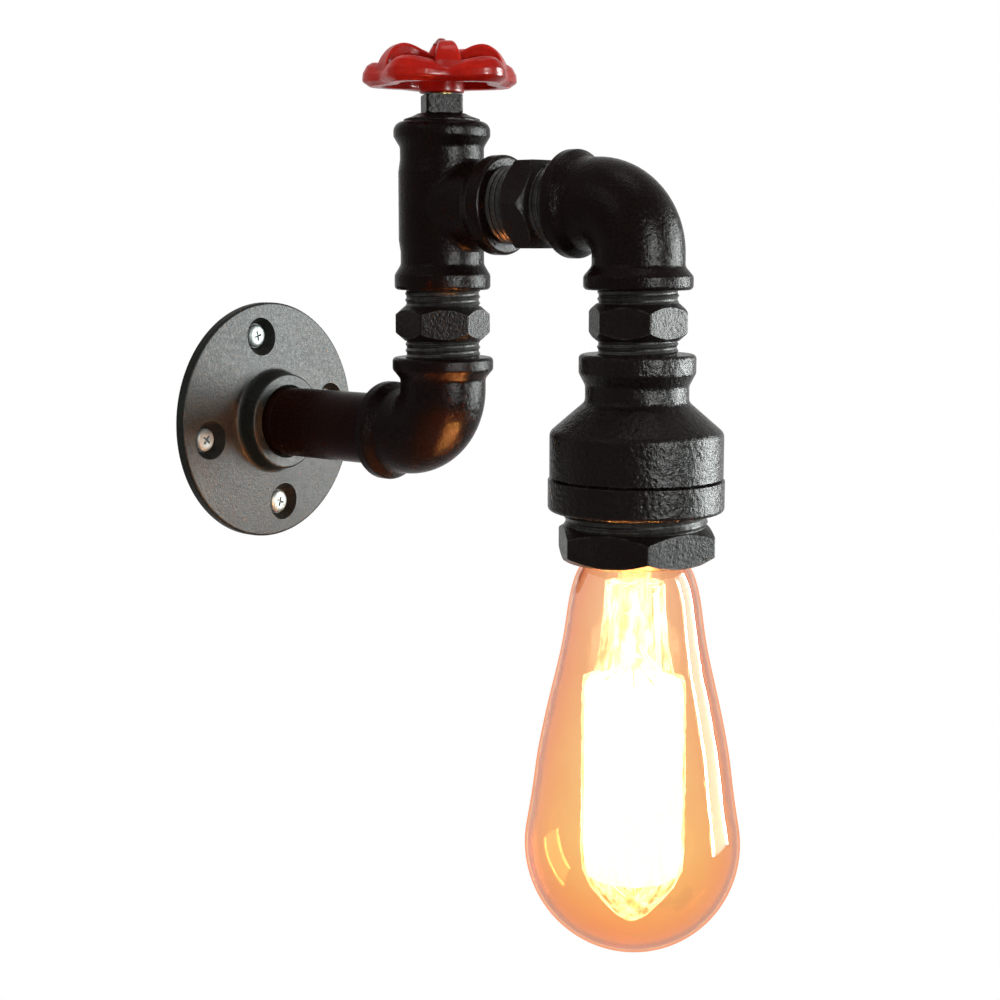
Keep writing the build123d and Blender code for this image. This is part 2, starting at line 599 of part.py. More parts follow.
def filament_supports():
    """Fine wires from the two glass buttons to the turns of the filament."""
    top, bottom = cage_points()
    wires = []
    for ring, button, first in ((top, TOP_BUTTON, 1), (bottom, BOTTOM_BUTTON, 0)):
        for i in range(first, 2 * HAIRPINS - 1, 2):
            middle = (Vector(*ring[i]) + Vector(*ring[i + 1])) * 0.5
            centre = Vector(0, 0, -button)
            ray = (middle - centre).normalized()
            start = centre + ray * (BUTTON_R + GLASS_GAP)
            end = middle - ray * (FILAMENT_R + GLASS_GAP)
            wires.append(bar(SUPPORT_R, tuple(start), tuple(end)))
    return wires


def lead_in_wires():
    """The two wires from the press to the ends of the filament."""
    top, _ = cage_points()
    wires = []
    for end in (top[0], top[-1]):
        goal = Vector(*end)
        flat = Vector(goal.X, goal.Y, 0).normalized()
        start = flat * (STEM_ROD_R + 2 * SUPPORT_R) + Vector(0, 0, -STEM_PRESS - 2 * SUPPORT_R)
        ray = (goal - start).normalized()
        stop = goal - ray * (FILAMENT_R + GLASS_GAP)
        wires.append(bar(SUPPORT_R, tuple(start), tuple(stop)))
    return wires


# ------------------------------------------------------------------ dimmer, gland and wheel
def bonnet():
    """The domed plug in the top of the tee, bored for the dimmer."""
    low = tee_top_z - BONNET_GRIP
    outside = turned((0, low, 0), (THREAD_R, low, 0), (THREAD_R, tee_top_z, 0),
                     (BONNET_R, tee_top_z, 0), (BONNET_R, tee_top_z + 0.6, 0.4),
                     (BONNET_TOP_R + 1.4, gland_z - 0.7, 1.2), (BONNET_TOP_R, gland_z, 0),
                     (0, gland_z, 0))
    dimmer_room = rod(BONNET_BORE_R, low, dimmer_top_z)
    return outside - dimmer_room - rod(DIMMER_THREAD_R + THREAD_GAP, low, gland_z)


def dimmer_body():
    """The rotary dimmer: a round case and the threaded neck that the gland nut holds."""
    low = dimmer_top_z - DIMMER_HEIGHT
    neck_top = dimmer_top_z + DIMMER_THREAD
    case = turned((0, low, 0), (DIMMER_R, low, 0.6), (DIMMER_R, dimmer_top_z, 0.6),
                  (0, dimmer_top_z, 0))
    neck = rod(DIMMER_THREAD_R, dimmer_top_z, neck_top)
    return case + neck - rod(SPINDLE_R + SPINDLE_FIT, dimmer_top_z - SPINDLE_FOOT, neck_top)


def gland_nut():
    """The square nut on the dimmer's neck."""
    nut = prism(4, GLAND_SQUARE, GLAND_HEIGHT, GLAND_DEG, GLAND_END_R, GLAND_CUT)
    top = dimmer_top_z + DIMMER_THREAD
    thread = rod(DIMMER_THREAD_R + THREAD_GAP, gland_z, top)
    return Pos(0, 0, gland_z) * nut - thread - rod(SPINDLE_R + END_GAP, top, gland_z + GLAND_HEIGHT)


def spindle():
    """The shaft from the dimmer's case to the wheel's hub, tapped for the wheel's screw."""
    foot = dimmer_top_z - SPINDLE_FOOT + END_GAP
    top = hub_z + HUB_HEIGHT - HUB_CROWN
    screw_foot = hub_z + HUB_HEIGHT - WHEEL_SCREW_LENGTH
    return rod(SPINDLE_R, foot, top) - rod(WHEEL_SCREW_R + THREAD_GAP, screw_foot - END_GAP, top)


def rim_section(angle):
    """The rim cut through by an upright plane, this many degrees from the middle of a lobe."""
    lobe = (1 + cos(radians(WHEEL_LOBES * angle))) / 2
    outer = WHEEL_R - WHEEL_DIP * (1 - lobe)
    height = RIM_HEIGHT + RIM_RISE * lobe
    face = [(outer - inset, RIM_LIFT + share * height) for inset, share, _ in RIM_OUTER_FACE]
    inner_foot = (outer - RIM_WIDTH, RIM_LIFT)
    inner_top = (outer - RIM_WIDTH + RIM_DRAFT, RIM_LIFT + height)
    roundings = [RIM_FOOT_ROUND] + [row[2] for row in RIM_OUTER_FACE] + [RIM_TOP_ROUND]
    outline = FilletPolyline(inner_foot, *face, inner_top, radius=roundings, close=True)
    across, along = cos(radians(angle)), sin(radians(angle))
    upright = Plane(origin=(0, 0, 0), x_dir=(across, along, 0), z_dir=(along, -across, 0))
    return upright * make_face(outline)


def rim():
    """The wavy rim: one lobe, lofted from hollow to hollow through its sections, and repeated."""
    half = 180 / WHEEL_LOBES
    sector = loft([rim_section(half * share) for share in (-1, -0.5, 0, 0.5, 1)])
    whole = sector
    for i in range(1, WHEEL_LOBES):
        whole = whole + Rot(0, 0, 2 * half * i) * sector
    return whole


def spoke():
    """One spoke, humped between the hub and the rim, along +X."""
    sections = []
    for reach, top, width, thick in SPOKE_HUMP:
        upright = Plane(origin=(reach, 0, top - thick / 2), x_dir=(0, 1, 0), z_dir=(1, 0, 0))
        sections.append(upright * RectangleRounded(width, thick, SPOKE_ROUND))
    return loft(sections)


def handwheel():
    """The cast wheel with its hub's foot at Z = 0 and one lobe on +X."""
    hub = turned((0, 0, 0), (HUB_R, 0, 0.6), (HUB_R, HUB_SIDE, 1.5),
                 (HUB_SHOULDER_R, HUB_SHOULDER, 2.0), (HUB_TIP_R, HUB_HEIGHT, 0), (0, HUB_HEIGHT, 0))
    wheel = rim() + hub
    for i in range(WHEEL_LOBES):
        wheel = wheel + Rot(0, 0, 360 * (i + 0.5) / WHEEL_LOBES) * spoke()
    bore = rod(SPINDLE_R + SPINDLE_FIT, 0, HUB_HEIGHT - HUB_CROWN + END_GAP)
    return wheel - bore - rod(WHEEL_SCREW_R + THREAD_GAP, 0, HUB_HEIGHT)


def wheel_screw():
    """The pointed screw that holds the wheel on the spindle."""
    foot = HUB_HEIGHT - WHEEL_SCREW_LENGTH
    top = HUB_HEIGHT + WHEEL_SCREW_HEAD
    return turned((0, foot, 0), (WHEEL_SCREW_R, foot, 0), (WHEEL_SCREW_R, HUB_HEIGHT, 0),
                  (WHEEL_SCREW_HEAD_R, HUB_HEIGHT, 0), (WHEEL_SCREW_HEAD_R, HUB_HEIGHT + 0.5, 0.2),
                  (WHEEL_SCREW_TIP_R, top, 0.4), (0, top, 0))


# ------------------------------------------------------------------ inner wires
def wire(side, points, bends):
    """A wire in a plane beside the pipe's axis: straight runs and tangent arcs through (y, z)."""
    route = FilletPolyline(*[(side * WIRE_OFFSET, y, z) for y, z in points], radius=bends)
    start = Plane(origin=route @ 0, z_dir=route % 0)
    return sweep(start * Circle(WIRE_R), path=route)


terminal_top_z = cover_seat_z + TERMINAL_SIZE[2]
neutral_route = [(-WIRE_SETBACK, 0), (elbow_y, 0), (elbow_y, branch_z), (drop_y, branch_z),
                 (drop_y, terminal_top_z)]
live_route = [(-WIRE_SETBACK, 0), (elbow_y, 0), (elbow_y, dimmer_top_z - DIMMER_HEIGHT)]
switched_route = [(elbow_y - SWITCHED_OFFSET, dimmer_top_z - DIMMER_HEIGHT),
                  (elbow_y - SWITCHED_OFFSET, branch_z), (drop_y, branch_z), (drop_y, terminal_top_z)]

# ------------------------------------------------------------------ every piece in its place
flange_screws = [OUT_OF_WALL * one for one in screw_places() * wall_screw()]
lower_elbow = RISER * elbow()
upper_elbow = DROP * Pos(0, 0, branch_z) * Rot(0, 180, 0) * elbow()
riser_nipple = RISER * Pos(0, 0, ELBOW_REACH + RISER_SHOW / 2) * hex_nipple(RISER_HEX_DEG)
branch_middle_y = elbow_y - TEE_REACH - BRANCH_SHOW / 2
branch_nipple = Pos(0, branch_middle_y, branch_z) * OUT_OF_WALL * hex_nipple(BRANCH_HEX_DEG)
drop_nipple = DROP * Pos(0, 0, reducer_top_z + DROP_SHOW / 2) * hex_nipple(DROP_HEX_DEG)
IN_HOLDER = DROP * Pos(0, 0, bulb_z)
ON_HUB = RISER * Pos(0, 0, hub_z) * Rot(0, 0, WHEEL_LOBE_DEG)

nodes = {
    "wall_flange": OUT_OF_WALL * wall_flange(),
    "flange_screws": flange_screws,
    "wall_nipple": OUT_OF_WALL * wall_nipple(),
    "lower_elbow": lower_elbow,
    "riser_hex_nipple": riser_nipple,
    "tee": RISER * Pos(0, 0, branch_z) * tee(),
    "branch_hex_nipple": branch_nipple,
    "upper_elbow": upper_elbow,
    "drop_hex_nipple": drop_nipple,
    "bell_reducer": DROP * bell_reducer(),
    "hex_bush": DROP * hex_bush(),
    "holder_washer": DROP * holder_washer(),
    "holder_rod": DROP * holder_rod(),
    "holder_locknut": DROP * holder_locknut(),
    "holder_cover": DROP * holder_cover(),
    "holder_body": DROP * holder_body(),
    "holder_screw_shell": DROP * screw_shell(),
    "holder_contact_strip": DROP * contact_strip(),
    "holder_shell_strip": DROP * shell_strip(),
    "holder_terminals": [DROP * one for one in terminals()],
    "terminal_screws": [DROP * one for one in terminal_screws()],
    "bulb_glass": IN_HOLDER * bulb_glass(),
    "bulb_cap": IN_HOLDER * bulb_cap(),
    "bulb_insulator": IN_HOLDER * bulb_insulator(),
    "bulb_contact": IN_HOLDER * bulb_contact(),
    "bulb_stem": IN_HOLDER * bulb_stem(),
    "bulb_filament": IN_HOLDER * bulb_filament(),
    "filament_supports": [IN_HOLDER * one for one in filament_supports()],
    "lead_in_wires": [IN_HOLDER * one for one in lead_in_wires()],
    "bonnet": RISER * bonnet(),
    "dimmer_body": RISER * dimmer_body(),
    "gland_nut": RISER * gland_nut(),
    "dimmer_spindle": RISER * spindle(),
    "handwheel": ON_HUB * handwheel(),
    "wheel_screw": ON_HUB * wheel_screw(),
    "neutral_wire": wire(-1, neutral_route, [ELBOW_BEND_R, WIRE_TEE_BEND, ELBOW_BEND_R]),
    "live_wire": wire(1, live_route, [ELBOW_BEND_R]),
    "switched_wire": wire(1, switched_route, [WIRE_TEE_BEND, ELBOW_BEND_R]),
}

for name, shape in nodes.items():
    whole = Compound(children=list(shape)) if isinstance(shape, list) else shape
    export_step(whole, f"parts/{name}.step")
    print(f"{name}: {len(whole.solids())} solid(s), {whole.volume:.1f} mm3")
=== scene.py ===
# %% [markdown]
# # An industrial pipe wall light
#
# The light is built from black pipe fittings. A flange is screwed to the wall, a pipe stands out of
# it, an elbow turns it up to a tee, a red valve wheel sits over the tee, and a second elbow turns
# down to a bell reducer with a glowing bulb in its mouth. The solid shapes come from the packed
# model, already in place and in metres, so this lesson is about their looks: paint over cast iron,
# threads, screws, enamel, glass and light.

# %% Load the solid model
import bpy
from math import atan2, cos, pi, radians, sin
from mathutils import Matrix, Vector


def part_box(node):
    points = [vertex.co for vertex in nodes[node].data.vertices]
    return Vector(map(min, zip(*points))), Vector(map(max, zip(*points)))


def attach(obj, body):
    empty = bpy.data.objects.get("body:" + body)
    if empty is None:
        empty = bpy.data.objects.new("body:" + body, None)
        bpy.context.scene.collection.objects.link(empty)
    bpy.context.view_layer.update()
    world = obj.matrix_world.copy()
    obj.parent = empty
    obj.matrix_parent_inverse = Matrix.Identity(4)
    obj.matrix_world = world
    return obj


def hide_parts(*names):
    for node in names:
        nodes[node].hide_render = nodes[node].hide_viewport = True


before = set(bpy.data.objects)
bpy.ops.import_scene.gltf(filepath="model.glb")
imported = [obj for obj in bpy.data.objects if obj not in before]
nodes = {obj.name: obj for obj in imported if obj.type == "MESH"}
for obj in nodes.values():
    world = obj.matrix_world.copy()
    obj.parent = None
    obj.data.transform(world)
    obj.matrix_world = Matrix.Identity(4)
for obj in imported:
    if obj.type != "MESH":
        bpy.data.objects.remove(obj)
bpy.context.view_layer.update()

# %% [markdown]
# ## Measure where things are
#
# Every new piece is placed by the solids that carry it. The middle of a box gives an axis of the
# pipework, and the facing ends of two fittings say how much of a nipple shows between them.

# %% Axes and open stretches of pipe
mm = 0.001


def middle(node):
    low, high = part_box(node)
    return (low + high) / 2


riser = middle("riser_hex_nipple")
drop = middle("drop_hex_nipple")
branch = middle("branch_hex_nipple")
riser_gap = (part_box("lower_elbow")[1].z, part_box("tee")[0].z)
branch_gap = (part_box("upper_elbow")[1].y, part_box("tee")[0].y)
drop_gap = (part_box("bell_reducer")[1].z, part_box("upper_elbow")[0].z)
bush_gap = (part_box("hex_bush")[0].z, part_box("bell_reducer")[0].z)
print("open stretches in mm:",
      [round((b - a) / mm, 1) for a, b in (riser_gap, branch_gap, drop_gap, bush_gap)])

# %% [markdown]
# ## The camera
#
# The picture is taken from the left of the arm and a little below the wheel, so the flange is seen
# at a slant and the bulb hangs in front. A 63 mm lens keeps the sides of the pipes nearly parallel.

# %% Place the camera
LOOK_DOWN_DEG = 8.322
TURN_DEG = -51.989  # about the upright axis, from looking along +Y
eye = Vector((-0.38986, -0.39971, 0.05501))
bpy.ops.object.camera_add(location=eye, rotation=(radians(90 - LOOK_DOWN_DEG), 0, radians(TURN_DEG)))
camera = bpy.context.object
camera.name = "camera"
camera.data.lens = 63.0
camera.data.sensor_width = 36.0
bpy.context.scene.camera = camera
print("camera stands", round((eye - middle("bulb_glass")).length, 3), "m from the bulb")

# %% [markdown]
# ## A white room
#
# The object stands in front of plain white. The world is white to whatever looks at it, directly,
# in a reflection or through glass, but lights the object only softly.

# %% White to look at, soft as a light
SOFT_LEVEL = 0.34
scene = bpy.context.scene
scene.view_settings.view_transform = "Standard"
world = bpy.data.worlds.new("white_room")
scene.world = world
world.use_nodes = True
sky = world.node_tree
sky.nodes.clear()


def highest(tree, a, b):
    node = tree.nodes.new("ShaderNodeMath")
    node.operation = "MAXIMUM"
    tree.links.new(a, node.inputs[0])
    tree.links.new(b, node.inputs[1])
    return node.outputs[0]


def seen_directly(tree):
    """1 for camera, mirror and glass rays, 0 for the soft light that a surface gathers."""
    path = tree.nodes.new("ShaderNodeLightPath")
    total = path.outputs["Is Camera Ray"]
    for kind in ("Is Glossy Ray", "Is Transmission Ray"):
        total = highest(tree, total, path.outputs[kind])
    return total


def mixed(tree, share, a, b):
    """Shader a where share is 0 and b where it is 1."""
    node = tree.nodes.new("ShaderNodeMixShader")
    for source, socket in zip((share, a, b), node.inputs):
        tree.links.new(source, socket)
    return node.outputs[0]


def backdrop(colour, strength):
    node = sky.nodes.new("ShaderNodeBackground")
    node.inputs["Color"].default_value = (*colour, 1)
    node.inputs["Strength"].default_value = strength
    return node.outputs[0]


soft = backdrop((0.96, 0.98, 1.0), SOFT_LEVEL)
white = backdrop((1, 1, 1), 1.0)
sky_out = sky.nodes.new("ShaderNodeOutputWorld")
sky.links.new(mixed(sky, seen_directly(sky), soft, white), sky_out.inputs[0])
print("the room looks white and lights the object at", SOFT_LEVEL)

# %% [markdown]
# ## The floor
#
# A pale round floor lies well below the hanging bulb and catches its soft shadow. It fades out
# towards its edge, so that no line shows between floor and room, and it is clear from underneath.


# %% A round sheet to stand behind or under the object
def round_sheet(name, centre, radius, turn, sides):
    """A flat disc for the stage with an empty material: the disc and the material's tree."""
    bpy.ops.object.select_all(action="DESELECT")
    bpy.ops.mesh.primitive_circle_add(vertices=sides, radius=radius, fill_type="NGON", location=centre,
                                      rotation=turn)
    disc = bpy.context.object
    disc.name = name
    bpy.ops.object.transform_apply(location=True, rotation=True, scale=True)
    paint = bpy.data.materials.new(name + "_paint")
    paint.use_nodes = True
    paint.node_tree.nodes.clear()
    disc.data.materials.append(paint)
    return disc, paint.node_tree


def clear_behind(tree, front, clear_too=None):
    """Shows a shader on the front only, and not where clear_too is 1."""
    clear = tree.nodes.new("ShaderNodeNewGeometry").outputs["Backfacing"]
    if clear_too is not None:
        clear = highest(tree, clear_too, clear)
    nothing = tree.nodes.new("ShaderNodeBsdfTransparent")
    out = tree.nodes.new("ShaderNodeOutputMaterial")
    tree.links.new(mixed(tree, clear, front, nothing.outputs[0]), out.inputs[0])


# %% A pale disc that fades into the room
FLOOR_R = 0.42
floor_middle = Vector((0, -0.09, -0.36))
floor, tree = round_sheet("floor", floor_middle, FLOOR_R, (0, 0, 0), 96)
matt = tree.nodes.new("ShaderNodeBsdfDiffuse")
matt.inputs["Color"].default_value = (0.56, 0.56, 0.55, 1)
lift = tree.nodes.new("ShaderNodeEmission")
lift.inputs["Color"].default_value = (0.56, 0.56, 0.56, 1)
tree.links.new(seen_directly(tree), lift.inputs["Strength"])
both = tree.nodes.new("ShaderNodeAddShader")
tree.links.new(matt.outputs[0], both.inputs[0])
tree.links.new(lift.outputs[0], both.inputs[1])
here = tree.nodes.new("ShaderNodeTexCoord")
from_middle = tree.nodes.new("ShaderNodeVectorMath")
from_middle.operation = "DISTANCE"
from_middle.inputs[1].default_value = floor_middle
tree.links.new(here.outputs["Object"], from_middle.inputs[0])
fade = tree.nodes.new("ShaderNodeMapRange")
fade.interpolation_type = "SMOOTHSTEP"
fade.inputs["From Min"].default_value = 0.55 * FLOOR_R
fade.inputs["From Max"].default_value = 0.98 * FLOOR_R
tree.links.new(from_middle.outputs["Value"], fade.inputs["Value"])
clear_behind(tree, both.outputs[0], fade.outputs[0])

# %% [markdown]
# ## The wall
#
# The screws reach 24 mm into the wall. From the camera two of their points would show past the
# flange's left edge, so a small round patch of wall stands there. It is as white as the room from
# the front and clear from behind, so the back of the flange and the screws can still be seen.

# %% A patch of wall beside the flange
wall, tree = round_sheet("wall_patch", (-0.0395, 0.3 * mm, 0.014), 0.024, (pi / 2, 0, 0), 64)
level = tree.nodes.new("ShaderNodeMapRange")
level.inputs["To Min"].default_value = SOFT_LEVEL
tree.links.new(seen_directly(tree), level.inputs["Value"])
glow = tree.nodes.new("ShaderNodeEmission")
tree.links.new(level.outputs[0], glow.inputs["Strength"])
clear_behind(tree, glow.outputs[0])
print("the wall faces", [round(c) for c in wall.data.polygons[0].normal])

# %% [markdown]
# ## Lamps
#
# A tall window to the right makes the bright stripe on the glass and the grey sheen on the flange
# and on the right side of each casting. A narrower box in front, a little to the right, makes the
# second sheen near the middle. Black gloss only shows a lamp as a faint mirror image, so each of
# these has a twin that is seen in reflections and does not light matt surfaces.

# %% Softboxes
target = Vector((0, -0.09, 0.0))


def softbox(name, place, size, watts, colour, shine_only=False):
    bpy.ops.object.select_all(action="DESELECT")
    bpy.ops.object.light_add(type="AREA", location=place)
    lamp = bpy.context.object
    lamp.name = name
    lamp.data.shape = "RECTANGLE"
    lamp.data.size, lamp.data.size_y = size
    lamp.data.energy = watts
    lamp.data.color = colour
    lamp.rotation_euler = (target - Vector(place)).to_track_quat("-Z", "Y").to_euler()
    lamp.visible_diffuse = not shine_only
    print(name, "at", [round(v, 2) for v in place], watts, "W")
    return lamp


window = (0.93, -0.93, 0.05)
front = (-0.35, -1.24, 0.16)
softbox("window_right", window, (0.46, 0.8), 5.0, (0.93, 1.0, 0.97))
softbox("window_right_shine", window, (0.60, 0.8), 250.0, (0.94, 1.0, 0.985), shine_only=True)
softbox("box_front", front, (0.2, 0.5), 3.0, (0.96, 1.0, 0.98))
softbox("box_front_shine", front, (0.17, 0.45), 70.0, (0.96, 1.0, 0.98), shine_only=True)
softbox("box_left", (-0.95, 0.05, 0.75), (0.35, 0.35), 2.5, (1.0, 1.0, 1.0))
softbox("box_above", (0.1, -0.25, 1.1), (0.3, 0.3), 2.5, (1.0, 0.99, 0.97))

# %% [markdown]
# The filament really lights the fittings near it. A weak warm lamp in the middle of the bulb gives
# its light on matt surfaces, and two stronger ones, seen in reflections alone, give the orange gleam
# on the elbow. They pass the glass, which is made clear to shadow rays further down, and they aren't
# seen through it: to the camera, the filament itself is what glows. They move with the bulb.

# %% The bulb's own light
bulb_middle = middle("bulb_filament")
for name, rise, watts, shine_only in (("bulb_light", 0, 0.35, False),
                                      ("bulb_shine_upper", 15 * mm, 4.0, True),
                                      ("bulb_shine_lower", -15 * mm, 4.0, True)):
    bpy.ops.object.light_add(type="POINT", location=bulb_middle + Vector((0, 0, rise)))
    lamp = bpy.context.object
    lamp.name = name
    lamp.data.energy = watts
    lamp.data.color = (1.0, 0.40, 0.12)
    lamp.data.shadow_soft_size = 22 * mm
    lamp.visible_camera = False
    lamp.visible_transmission = False
    lamp.visible_diffuse = not shine_only
    lamp.data.cycles.use_multiple_importance_sampling = False
    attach(lamp, "bulb")
print("bulb lamps round", [round(v, 3) for v in bulb_middle])

# %% [markdown]
# ## Helpers for the finishes
#
# Every finish is mixed from the same few steps: a noise somewhere on the piece, a colour or a
# number made from it, and a bump. Object coordinates are metres, so a scale of 500 gives grains of
# about two millimetres.


# %% Material helpers
class Finish:
    """A Principled material with short words for the nodes that feed it."""

    def __init__(self, name, roughness=0.5, metallic=0.0, specular=0.5):
        self.material = bpy.data.materials.new(name)
        self.material.use_nodes = True
        self.tree = self.material.node_tree
        self.tree.nodes.clear()
        self.shader = self.add("ShaderNodeBsdfPrincipled")
        self.out = self.add("ShaderNodeOutputMaterial")
        self.link(self.shader.outputs[0], self.out.inputs[0])
        self.here = self.add("ShaderNodeTexCoord").outputs["Object"]
        self.shader.inputs["Roughness"].default_value = roughness
        self.shader.inputs["Metallic"].default_value = metallic
        self.shader.inputs["Specular IOR Level"].default_value = specular

    def add(self, kind):
        return self.tree.nodes.new(kind)

    def link(self, source, target):
        if hasattr(source, "is_output"):
            self.tree.links.new(source, target)
        else:
            target.default_value = source

    def noise(self, scale, detail=3.0, rough=0.55, stretch=None):
        node = self.add("ShaderNodeTexNoise")
        node.inputs["Scale"].default_value = scale
        node.inputs["Detail"].default_value = detail
        node.inputs["Roughness"].default_value = rough
        self.link(self.stretched(stretch) if stretch else self.here, node.inputs["Vector"])
        return node.outputs["Fac"]

    def stretched(self, stretch):
        node = self.add("ShaderNodeMapping")
        node.inputs["Scale"].default_value = stretch
        self.link(self.here, node.inputs["Vector"])
        return node.outputs[0]

    def pits(self, scale, size):
        """Small round dents: 1 in the middle of a few cells, 0 elsewhere."""
        node = self.add("ShaderNodeTexVoronoi")
        node.inputs["Scale"].default_value = scale
        self.link(self.here, node.inputs["Vector"])
        return self.span(node.outputs["Distance"], size, 0.0, 0.0, 1.0)

    def span(self, value, low, high, to_low=0.0, to_high=1.0):
        node = self.add("ShaderNodeMapRange")
        self.link(value, node.inputs["Value"])
        for key, number in (("From Min", low), ("From Max", high), ("To Min", to_low), ("To Max", to_high)):
            node.inputs[key].default_value = number
        return node.outputs[0]

    def maths(self, how, a, b):
        node = self.add("ShaderNodeMath")
        node.operation = how
        self.link(a, node.inputs[0])
        self.link(b, node.inputs[1])
        return node.outputs[0]

    def blend(self, share, a, b, how="MIX"):
        node = self.add("ShaderNodeMix")
        node.data_type = "RGBA"
        node.blend_type = how
        self.link(share, node.inputs[0])
        for value, socket in ((a, node.inputs[6]), (b, node.inputs[7])):
            self.link((*value, 1) if isinstance(value, tuple) else value, socket)
        return node.outputs[2]

    def edges(self, radius, low=0.02, high=0.12):
        """1 along sharp edges, where the paint is thin: the rounded normal differs there."""
        rounded = self.add("ShaderNodeBevel")
        rounded.samples = 4
        rounded.inputs["Radius"].default_value = radius
        own = self.add("ShaderNodeNewGeometry")
        dot = self.add("ShaderNodeVectorMath")
        dot.operation = "DOT_PRODUCT"
        self.link(rounded.outputs[0], dot.inputs[0])
        self.link(own.outputs["Normal"], dot.inputs[1])
        return self.span(self.maths("SUBTRACT", 1.0, dot.outputs["Value"]), low, high)

    def colour(self, value):
        self.link(value, self.shader.inputs["Base Color"])

    def rough(self, value):
        self.link(value, self.shader.inputs["Roughness"])

    def bump(self, height, distance, strength=1.0):
        """Adds a bump on top of the ones already there."""
        node = self.add("ShaderNodeBump")
        node.inputs["Strength"].default_value = strength
        node.inputs["Distance"].default_value = distance
        self.link(height, node.inputs["Height"])
        if self.shader.inputs["Normal"].is_linked:
            self.link(self.shader.inputs["Normal"].links[0].from_socket, node.inputs["Normal"])
        self.link(node.outputs[0], self.shader.inputs["Normal"])


def dress(finish, *names):
    """Gives a finish to CAD solids by name."""
    for name in names:
        mesh = nodes[name].data
        mesh.materials.clear()
        mesh.materials.append(finish.material)
    print(finish.material.name, "on", ", ".join(names))


# %% [markdown]
# ## Satin black paint over cast iron
#
# The fittings are cast in sand and dipped or sprayed black. The paint is almost black. The brown in
# its dark colours is partly the paint's own and partly painted light: it stands for the bulb's warm
# light in the shade. The paint has the fine dimples of orange peel over the lumps of the casting, and
# it is rubbed to a greyer black along edges. One recipe makes all of them, with a different grain for
# fittings, reducer, hexagons, pipe and flange. Its specular level is far below that of real paint,
# because the room is white all round, and a full mirror of it would turn the black to grey. The
# shine-only lamps above make up for that.


# %% The recipe for black castings
def black_casting(name, dark, light, peel, peel_depth, lumps_depth, roughness, specular, wear, pit=0.0):
    """peel is the scale of the fine grain; the depths of grain, lumps and pits are in metres."""
    paint = Finish(name, specular=specular)
    patches = paint.span(paint.noise(70, 5, 0.6), 0.3, 0.75)
    tone = paint.blend(patches, dark, light)
    speckle = paint.span(paint.noise(1400, 2, 0.7), 0.35, 0.7, 0.6, 1.4)
    tone = paint.blend(1.0, tone, speckle, "MULTIPLY")
    rubbed = paint.maths("MULTIPLY", paint.edges(0.0006), paint.span(paint.noise(260, 4), 0.42, 0.62))
    rubbed = paint.maths("MULTIPLY", rubbed, wear)
    paint.colour(paint.blend(rubbed, tone, (0.10, 0.105, 0.098)))
    low, high = roughness
    paint.rough(paint.span(paint.noise(900, 4, 0.7), 0.35, 0.65, low, high))
    paint.bump(paint.noise(95, 3, 0.5), lumps_depth)
    paint.bump(paint.noise(peel, 3, 0.6), peel_depth)
    paint.bump(paint.noise(2.2 * peel, 2, 0.7), 0.35 * peel_depth)
    if pit:
        paint.bump(paint.maths("MULTIPLY", paint.pits(330, 0.25), -1.0), pit, 0.6)
    return paint


# In all five recipes below, the brown of the base colours is partly painted warm light for the shade.
fitting_paint = black_casting(
    "satin_black_fitting", (0.0062, 0.0022, 0.0014), (0.0086, 0.0048, 0.0038), peel=950,
    peel_depth=0.00017, lumps_depth=0.0003, roughness=(0.15, 0.33), specular=0.030, wear=0.5, pit=0.00010)
dress(fitting_paint, "lower_elbow", "tee", "upper_elbow", "bonnet")

reducer_paint = black_casting(
    "rough_black_reducer", (0.0066, 0.0030, 0.0020), (0.0088, 0.0066, 0.0056), peel=760,
    peel_depth=0.00027, lumps_depth=0.0005, roughness=(0.18, 0.36), specular=0.050, wear=0.5, pit=0.00016)
dress(reducer_paint, "bell_reducer")

hexagon_paint = black_casting(
    "rough_black_hexagon", (0.0076, 0.0036, 0.0026), (0.0115, 0.0096, 0.0082), peel=1050,
    peel_depth=0.00022, lumps_depth=0.0002, roughness=(0.24, 0.44), specular=0.046, wear=0.7, pit=0.00014)
dress(hexagon_paint, "riser_hex_nipple", "branch_hex_nipple", "drop_hex_nipple", "hex_bush", "gland_nut")

# The pipe's colours are the most red-brown, and that brown is mostly painted warm light in the shade.
pipe_paint = black_casting(
    "smooth_black_pipe", (0.0110, 0.0030, 0.0018), (0.0130, 0.0044, 0.0030), peel=1300,
    peel_depth=0.00005, lumps_depth=0.0001, roughness=(0.20, 0.30), specular=0.022, wear=0.3)
dress(pipe_paint, "wall_nipple")

flange_paint = black_casting(
    "grey_black_flange", (0.0100, 0.0074, 0.0058), (0.019, 0.0245, 0.0200), peel=1600,
    peel_depth=0.00010, lumps_depth=0.00015, roughness=(0.34, 0.52), specular=0.038, wear=0.6)
dress(flange_paint, "wall_flange")

# %% [markdown]
# ## Red enamel
#
# The valve wheel is cast iron under thick gloss enamel. Its colour is darkened towards near black in the
# hollows between rim and spokes, and that darkening is painted shade. A clear top layer gives it hard small
# highlights over a slightly wavy surface.

# %% Gloss enamel for the wheel
red = Finish("gloss_red_enamel", specular=0.05)
# Painted shade: where the occlusion node finds other surfaces within 4 mm, the red turns to near black.
shade_occlusion = red.add("ShaderNodeAmbientOcclusion")
shade_occlusion.samples = 8
shade_occlusion.inputs["Distance"].default_value = 0.004
red_tone = red.blend(red.span(red.noise(120, 4), 0.35, 0.7), (0.42, 0.0060, 0.0028), (0.60, 0.016, 0.0060))
painted_shade_share = red.span(shade_occlusion.outputs["AO"], 0.3, 0.92, 0.9, 0.0)
red.colour(red.blend(painted_shade_share, red_tone, (0.07, 0.0012, 0.001)))
red.rough(red.span(red.noise(300, 3), 0.3, 0.7, 0.22, 0.34))
red.bump(red.noise(160, 2), 0.00045)
red.bump(red.noise(900, 2), 0.00005)
red.shader.inputs["Coat Weight"].default_value = 0.04
red.shader.inputs["Coat Roughness"].default_value = 0.10
dress(red, "handwheel")

